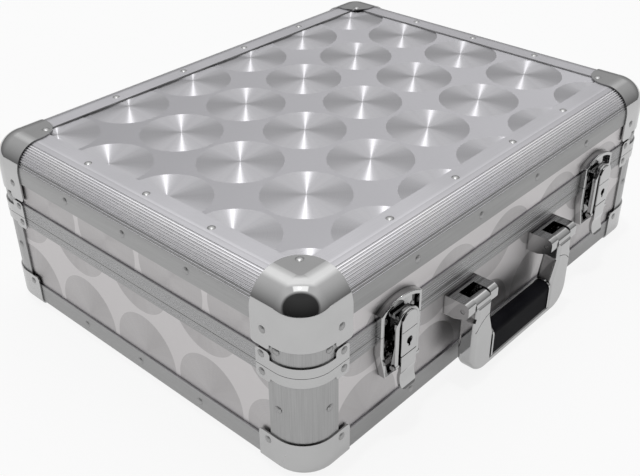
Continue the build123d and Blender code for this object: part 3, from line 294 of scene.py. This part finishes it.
def lining_cloth(name, level):
    """Black flocked lining: soft nap with fine cells."""
    s = Shader(name)
    where = s.place()
    nap = s.noise(where, scale=1400.0, detail=3.0, roughness=0.7)
    cells = s.add("TexVoronoi", {"Vector": where, "Scale": 700.0}).outputs["Distance"]
    cloud = s.noise(where, scale=18.0, detail=3.0)
    pit, tip, rubbed = grey(level * 0.6), grey(level * 1.3), grey(level * 1.6)
    tone = s.mix(s.span(nap, *NOISE_RUN), pit, tip)
    tone = s.mix(s.span(cloud, *NOISE_RUN, to_high=0.4), tone, rubbed)
    rough = s.span(nap, *NOISE_RUN, 0.88, 1.0)
    bump = s.bump(cells, distance=0.0002, strength=0.6)
    s.surface.inputs["Sheen Weight"].default_value = 0.25
    return s.finish(Base_Color=tone, Roughness=rough, Normal=bump)


# Finishes: grey level, roughness, and the axis that the lines run along
post_metal = drawn_metal("post_metal", 0.46, 0.30, "z", grain=0.5)
bottom_skin = drawn_metal("bottom_skin", 0.4, 0.5, "x")
ball_plating = plated_metal("ball_plating", 0.55, 0.04)
sheet_plating = plated_metal("sheet_plating", 0.56, 0.17, smudge=0.08)
# Rivet heads: painted shade rings their rims
rivet_plating = plated_metal("rivet_plating", 0.44, 0.38, crevice_shade=0.05, seam=0.003, shade_span=(0.55, 1.0))
# Latch and handle: painted shade in their hollows
latch_plating = plated_metal("latch_plating", 0.55, 0.03, hollow=0.011)
handle_plating = plated_metal("handle_plating", 0.53, 0.04, hollow=0.016)
hinge_plating = plated_metal("hinge_plating", 0.6, 0.22, smudge=0.1)
pin_steel = plated_metal("pin_steel", 0.5, 0.22, smudge=0.1)
# Lock plug: its keyhole and seams are painted nearly black as shade
lock_steel = plated_metal("lock_steel", 0.5, 0.1, crevice_shade=0.03, seam=0.0022)
grip_skin = moulded(
    "grip_skin", (0.006, 0.006, 0.008), 0.46, grain_scale=1100.0, grain_depth=0.00002, shine=0.03)
divider_skin = moulded("divider_skin", (0.02, 0.02, 0.021), 0.55)
foot_rubber = moulded(
    "foot_rubber", (0.015, 0.015, 0.015), 0.7, grain_scale=700.0, grain_depth=0.00005, shine=0.3)
lining_skin = lining_cloth("lining_skin", 0.02)
panel_top = engine_turned(
    "panel_top", "x", "y", TOP_PITCH, TOP_START, COOL, disc=0.68, gap=0.67, rough=0.3, lean=TOP_LEAN)
panels = {}
for (shell, row_axis), sheet_start in SIDE_STARTS.items():
    panels[shell, row_axis] = engine_turned(
        f"panel_{shell}_{row_axis}", row_axis, "z", SIDE_PITCH, sheet_start, WARM,
        disc=0.54, gap=0.69, rough=0.42, spin=0.5)

# A profile's parts, told apart by how far their faces look up or down: ribbed round, flat flange, upright
# side, and the bend beside the flange; each is one metal in its own grey, as painted light and shade
RIB, FLAT, SIDE, BEND = range(4)
FLAT_RISE = 0.995
BEND_RISE = 0.94
RIB_RISE = 0.5
# Upright sides are painted darker as shade, the sides along x a little more
SIDE_SHADE_LEVELS = {"x": 0.38, "y": 0.43}


def profile_finishes(along):
    """Four copies of one metal drawn along one axis, in the order of a profile's parts, with greys of painted
    light and shade.
    """
    side_shade = SIDE_SHADE_LEVELS[along]
    return (
        drawn_metal(f"profile_rib_{along}", 0.99, 0.36, along, COOL, crevice_shade=0.86, seam=0.0008, grain=0.15),
        drawn_metal(f"profile_flat_{along}", 0.73, 0.36, along, COOL, crevice_shade=0.35, seam=0.0018),
        drawn_metal(f"profile_side_{along}", side_shade, 0.36, along, crevice_shade=0.5, seam=0.001, grain=0.15),
        drawn_metal(f"profile_bend_{along}", 0.57, 0.36, along, COOL),
    )


def profile_part(face):
    """Which part of a profile a face is on."""
    rise = abs(face.normal.z)
    if rise > FLAT_RISE:
        return FLAT
    if rise > BEND_RISE:
        return BEND
    if rise > RIB_RISE:
        return RIB
    return SIDE


def dress(name, *materials):
    """Give a CAD node its finishes, the first one on all its faces, and return its mesh."""
    mesh = NODES[name].data
    mesh.materials.clear()
    for material in materials:
        mesh.materials.append(material)
    return mesh


def dress_profile(name, finishes):
    """Give each face of an extruded profile the finish of its part."""
    for face in dress(name, *finishes).polygons:
        face.material_index = profile_part(face)


# Faces that look within about 26 degrees of a direction count as facing it
FACING = 0.9


def line_inside(name, finish, inward):
    """A wall board: its finish outside, and the lining on the faces that look into the case."""
    for face in dress(name, finish, lining_skin).polygons:
        face.material_index = 1 if face.normal.dot(Vector(inward)) > FACING else 0


FINISHES = {
    "lid_corner_posts": post_metal,
    "base_corner_posts": post_metal,
    "lid_ball_corners": ball_plating,
    "lid_corner_straps": sheet_plating,
    "base_corner_straps": sheet_plating,
    "base_corner_caps": sheet_plating,
    "lid_rivets": rivet_plating,
    "base_rivets": rivet_plating,
    "foot_screws": pin_steel,
    "bracket_screws": pin_steel,
    "cd_dividers": divider_skin,
    "rubber_feet": foot_rubber,
    "hinge_base_leaves": hinge_plating,
    "hinge_lid_leaves": hinge_plating,
    "hinge_pins": pin_steel,
    "latch_keepers": latch_plating,
    "latch_bases": latch_plating,
    "lever_pins": pin_steel,
    "handle_brackets": handle_plating,
    "handle_pins": pin_steel,
    "handle_frame": handle_plating,
    "handle_collars": handle_plating,
    "handle_grip": grip_skin,
}
for hand in ("left", "right"):
    FINISHES[f"latch_lever_{hand}"] = latch_plating
    FINISHES[f"latch_bail_{hand}"] = latch_plating
    FINISHES[f"bail_pin_{hand}"] = pin_steel
    FINISHES[f"lock_plug_{hand}"] = lock_steel
for node_name, finish in FINISHES.items():
    dress(node_name, finish)

# The four walls: the axis that each runs along, and the direction from it into the case
WALLS = {
    "front": ("x", (0, 1, 0)),
    "back": ("x", (0, -1, 0)),
    "left": ("y", (1, 0, 0)),
    "right": ("y", (-1, 0, 0)),
}
PROFILES = ("lid_{}_edge", "lid_{}_rim", "base_{}_rim", "base_{}_angle")
profiles = {axis: profile_finishes(axis) for axis in "xy"}
for wall, (run_axis, inward) in WALLS.items():
    for profile_name in PROFILES:
        dress_profile(profile_name.format(wall), profiles[run_axis])
    for shell in ("lid", "base"):
        line_inside(f"{shell}_{wall}_board", panels[shell, run_axis], inward)
line_inside("lid_top_board", panel_top, (0, 0, -1))
line_inside("base_bottom_board", bottom_skin, (0, 0, 1))

# Soft linings, on a grid of points: a little smaller than their slabs, with uneven waves in the open face.
# A wave's pair is its angle for each metre, and where it starts. The skin sinks by a share of the thickness
# at most.
LINING_GAP = Vector((0.0006, 0.0006, 0.0002))
LINING_STEP = 0.012
LINING_WAVES = ((61.0, 1.3), (53.0, 0.7))
DEEPEST_SHARE = 0.45
LOWER, UPPER = 0, 1


def slab_faces(columns, rows):
    """Faces of a closed slab whose points are a lower grid and then an upper one."""
    row = columns + 1
    upper = row * (rows + 1)
    faces = []
    for j in range(rows):
        for i in range(columns):
            a = j * row + i
            faces.append((a, a + row, a + row + 1, a + 1))
            faces.append((a + upper, a + 1 + upper, a + row + 1 + upper, a + row + upper))
    for i in range(columns):
        a, b = i, i + rows * row
        faces.append((a, a + 1, a + 1 + upper, a + upper))
        faces.append((b + 1, b, b + upper, b + 1 + upper))
    for j in range(rows):
        a, b = j * row, j * row + columns
        faces.append((a + row, a, a + upper, a + row + upper))
        faces.append((b, b + row, b + row + upper, b + upper))
    return faces


def soft_slab(name, node_name, body, open_layer, crown, rounding):
    """Soft pad in a CAD slab's place: a rounded edge, a slight crown and an uneven skin on its open layer."""
    low, high = rest_box(node_name)
    low, high = low + LINING_GAP, high - LINING_GAP
    size = high - low
    counts = [max(2, int(side / LINING_STEP)) for side in size.xy]
    verts = []
    for layer in (LOWER, UPPER):
        for j in range(counts[1] + 1):
            for i in range(counts[0] + 1):
                u, v = i / counts[0], j / counts[1]
                x, y = low.x + size.x * u, low.y + size.y * v
                edge = min(u * size.x, (1 - u) * size.x, v * size.y, (1 - v) * size.y)
                drop = rounding * (1 - min(1.0, edge / rounding)) ** 2
                waves = [math.sin(at * turn + begin) for at, (turn, begin) in zip((x, y), LINING_WAVES)]
                swell = 0.5 + 0.5 * waves[0] * waves[1]
                give = min(crown * (1 - swell) + drop, size.z * DEEPEST_SHARE)
                if layer != open_layer:
                    give = 0.0
                verts.append((x, y, high.z - give if layer == UPPER else low.z + give))
    mesh = bpy.data.meshes.new(name)
    mesh.from_pydata(verts, [], slab_faces(*counts))
    mesh.update()
    for face in mesh.polygons:
        face.use_smooth = True
    pad = bpy.data.objects.new(name, mesh)
    bpy.context.scene.collection.objects.link(pad)
    mesh.materials.append(lining_skin)
    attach(pad, body)
    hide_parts(node_name)


soft_slab("lid_foam_lining", "lid_foam_pad", "lid", LOWER, crown=0.0006, rounding=0.003)
soft_slab("floor_felt_lining", "base_floor_pad", "base", UPPER, crown=0.0003, rounding=0.001)

# Floor: pale paper that keeps the case's shadow. It glows nearly white to the camera, and less in the metal.
FLOOR_SIZE = 8.0
PAPER_LEVEL = 0.86
PAPER_ROUGHNESS = 0.9
FLOOR_GLOW = 0.88
FLOOR_MIRRORED = 0.55
floor_mesh = bpy.data.meshes.new("studio_floor")
reach = FLOOR_SIZE / 2
floor_corners = [(-reach, -reach, 0), (reach, -reach, 0), (reach, reach, 0), (-reach, reach, 0)]
floor_mesh.from_pydata(floor_corners, [], [(0, 1, 2, 3)])
studio_floor = bpy.data.objects.new("studio_floor", floor_mesh)
bpy.context.scene.collection.objects.link(studio_floor)
paper = Shader("floor_paper")
paper.finish(Base_Color=grey(PAPER_LEVEL), Roughness=PAPER_ROUGHNESS)
glow = paper.add("Emission", {"Color": grey(1.0), "Strength": 1.0})
ray = paper.add("LightPath")
seen = paper.math("MULTIPLY", ray.outputs["Is Camera Ray"], FLOOR_GLOW)
seen = paper.math("ADD", seen, paper.math("MULTIPLY", ray.outputs["Is Glossy Ray"], FLOOR_MIRRORED))
blend = paper.add("MixShader", {0: seen, 1: paper.surface.outputs[0], 2: glow.outputs[0]})
paper.tree.links.new(blend.outputs[0], paper.output.inputs["Surface"])
floor_mesh.materials.append(paper.material)

# Camera, at the photograph's angle
CAMERA_PLACE = Vector((-0.5426, -0.47635, 0.4835))
CAMERA_AIM = Vector((0.61328, 0.56444, -0.55253))
CAMERA_ROLL = math.radians(-0.62)
SENSOR_WIDTH = 36.0
FOCAL_LENGTH = 52.58
CAMERA_SHIFT = (-0.00386, 0.02147)
camera_data = bpy.data.cameras.new("camera")
camera_data.sensor_width = SENSOR_WIDTH
camera_data.lens = FOCAL_LENGTH
camera_data.shift_x, camera_data.shift_y = CAMERA_SHIFT
camera = bpy.data.objects.new("camera", camera_data)
bpy.context.scene.collection.objects.link(camera)
bpy.context.scene.camera = camera
level_view = CAMERA_AIM.to_track_quat("-Z", "Y")
camera.rotation_mode = "QUATERNION"
camera.rotation_quaternion = level_view @ Matrix.Rotation(CAMERA_ROLL, 3, "Z").to_quaternion()
camera.location = CAMERA_PLACE

# Level directions ahead of the camera and across its view
UP = Vector((0, 0, 1))
AHEAD = Vector((CAMERA_AIM.x, CAMERA_AIM.y, 0)).normalized()
ACROSS = AHEAD.cross(UP)

# Key light: small, far off and overhead, so that its thin streaks on the discs point at the camera's foot
KEY_DISTANCE = 6.0
KEY_SIDE = -0.044
KEY_SIZE = 0.2
KEY_POWER = 78.0
KEY_AIM = Vector((0.0, 0.0, 0.1))
key_data = bpy.data.lights.new("key_light", "AREA")
key_data.shape = "RECTANGLE"
key_data.size, key_data.size_y = KEY_SIZE, KEY_SIZE
key_data.energy = KEY_POWER
key_light = bpy.data.objects.new("key_light", key_data)
bpy.context.scene.collection.objects.link(key_light)
key_light.location = (UP + ACROSS * KEY_SIDE) * KEY_DISTANCE
key_light.rotation_mode = "QUATERNION"
key_light.rotation_quaternion = (KEY_AIM - key_light.location).to_track_quat("-Z", "Y")

# World: a soft tent, dim at the horizon and lighter overhead, with a dark opening on the camera's side, a
# wide soft box beyond the case and a small one in the ceiling. Heights and places are cosines along the
# directions above. Each box is centred at its beyond value, and fades in depth and width between two values
# and downwards between the two lowest heights.
TENT_LOW = 0.2
TENT_HIGH = 0.76
TENT_RISE = (0.0, 0.8)
OPENING_LEVEL = 0.09
OPENING_HEIGHT = math.radians(25.0)
OPENING_EDGE = (0.54, 0.66)
FAR_BOX = {"level": 0.56, "beyond": 0.48, "depth": (0.14, 0.34), "width": (0.4, 0.6)}
CEILING_BOX = {"level": 0.88, "beyond": 0.02, "depth": (0.13, 0.17), "width": (0.26, 0.3)}
BOX_LOWEST = (0.2, 0.4)
BACKDROP_LEVEL = 1.0
world = bpy.data.worlds.new("studio")
bpy.context.scene.world = world
world.use_nodes = True
sky = Nodes(world.node_tree)
way = sky.add("TexCoord").outputs["Generated"]


def share_along(axis):
    """How far the looked-at direction points along an axis."""
    return sky.add("VectorMath", {0: way, 1: axis}, operation="DOT_PRODUCT").outputs["Value"]


height = share_along(UP)


def soft_box(level, beyond, depth, width):
    """Light from a rectangle of the sky with soft edges."""
    off_depth = sky.math("ABSOLUTE", sky.math("SUBTRACT", share_along(AHEAD), beyond))
    off_width = sky.math("ABSOLUTE", share_along(ACROSS))
    in_width = sky.span(off_width, *width, 1.0, 0.0)
    in_depth = sky.span(off_depth, *depth, 1.0, 0.0)
    inside = sky.math("MULTIPLY", in_width, in_depth)
    inside = sky.math("MULTIPLY", inside, sky.span(height, *BOX_LOWEST))
    return sky.math("MULTIPLY", inside, level)


opening_way = UP * math.sin(OPENING_HEIGHT) - AHEAD * math.cos(OPENING_HEIGHT)
tent = sky.span(height, *TENT_RISE, TENT_LOW, TENT_HIGH)
closed = sky.span(share_along(opening_way), *OPENING_EDGE, 1.0, OPENING_LEVEL)
tent = sky.math("MULTIPLY", tent, closed)
for box in (FAR_BOX, CEILING_BOX):
    tent = sky.math("ADD", tent, soft_box(**box))
seen_directly = sky.add("LightPath").outputs["Is Camera Ray"]
strength = sky.mix(seen_directly, tent, BACKDROP_LEVEL, kind="FLOAT")
background = sky.add("Background", {"Color": grey(1.0), "Strength": strength})
sky_end = sky.add("OutputWorld")
sky.tree.links.new(background.outputs[0], sky_end.inputs["Surface"])

bpy.context.scene.view_settings.view_transform = "Standard"
